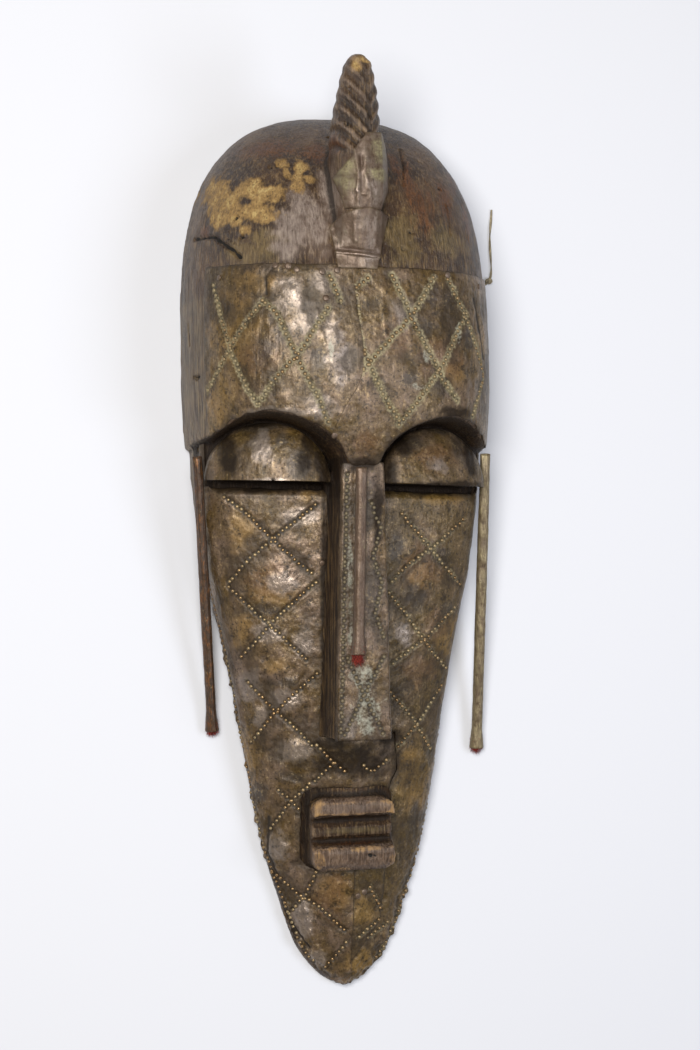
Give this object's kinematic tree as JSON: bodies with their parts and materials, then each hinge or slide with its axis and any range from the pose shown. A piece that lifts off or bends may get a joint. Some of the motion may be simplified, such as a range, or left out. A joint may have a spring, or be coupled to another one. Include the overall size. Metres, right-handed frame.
{
  "type": "ritual face mask",
  "caption": "Long carved wooden face mask clad in tacked brass sheet, with a braided crest, slit eyes, a long nose and hanging rolled tubes.",
  "frame": {"origin": "on the plane of the back rim, under the middle of the mask's length and width", "axes": "+Y from the chin to the crown, +X to the viewer's right, +Z out of the face, so the mask lies on its back with the face up"},
  "size_m": [0.2184, 0.6026, 0.1294],
  "materials": {
    "carved_wood": "dark aged hardwood, hand carved and worn to a low sheen",
    "brass_sheet": "hammered sheet with a brown patina, dusty along the tacks and rubbed bright on the high spots",
    "copper_sheet": "thin reddish sheet, creased by hand, dull with rubbed folds",
    "red_wool": "faded red wool, fibrous",
    "rawhide": "dry greyish rawhide strip"
  },
  "bodies": {
    "root": {"mask_body": "carved_wood", "forehead_left_sheet": "brass_sheet", "forehead_right_sheet": "brass_sheet", "left_eyelid_sheet": "brass_sheet", "right_eyelid_sheet": "brass_sheet", "left_cheek_sheet": "brass_sheet", "right_cheek_sheet": "brass_sheet", "upper_lip_sheet": "brass_sheet", "chin_sheet": "brass_sheet", "nose_sheet": "brass_sheet", "crest_saddle_plate": "copper_sheet", "crest_foot_plate": "copper_sheet", "nose_tube": "copper_sheet", "left_temple_tube": "copper_sheet", "right_temple_tube": "copper_sheet", "nose_tuft": "red_wool", "left_temple_tuft": "red_wool", "right_temple_tuft": "red_wool", "thong": "rawhide"}
  },
  "joints": []
}
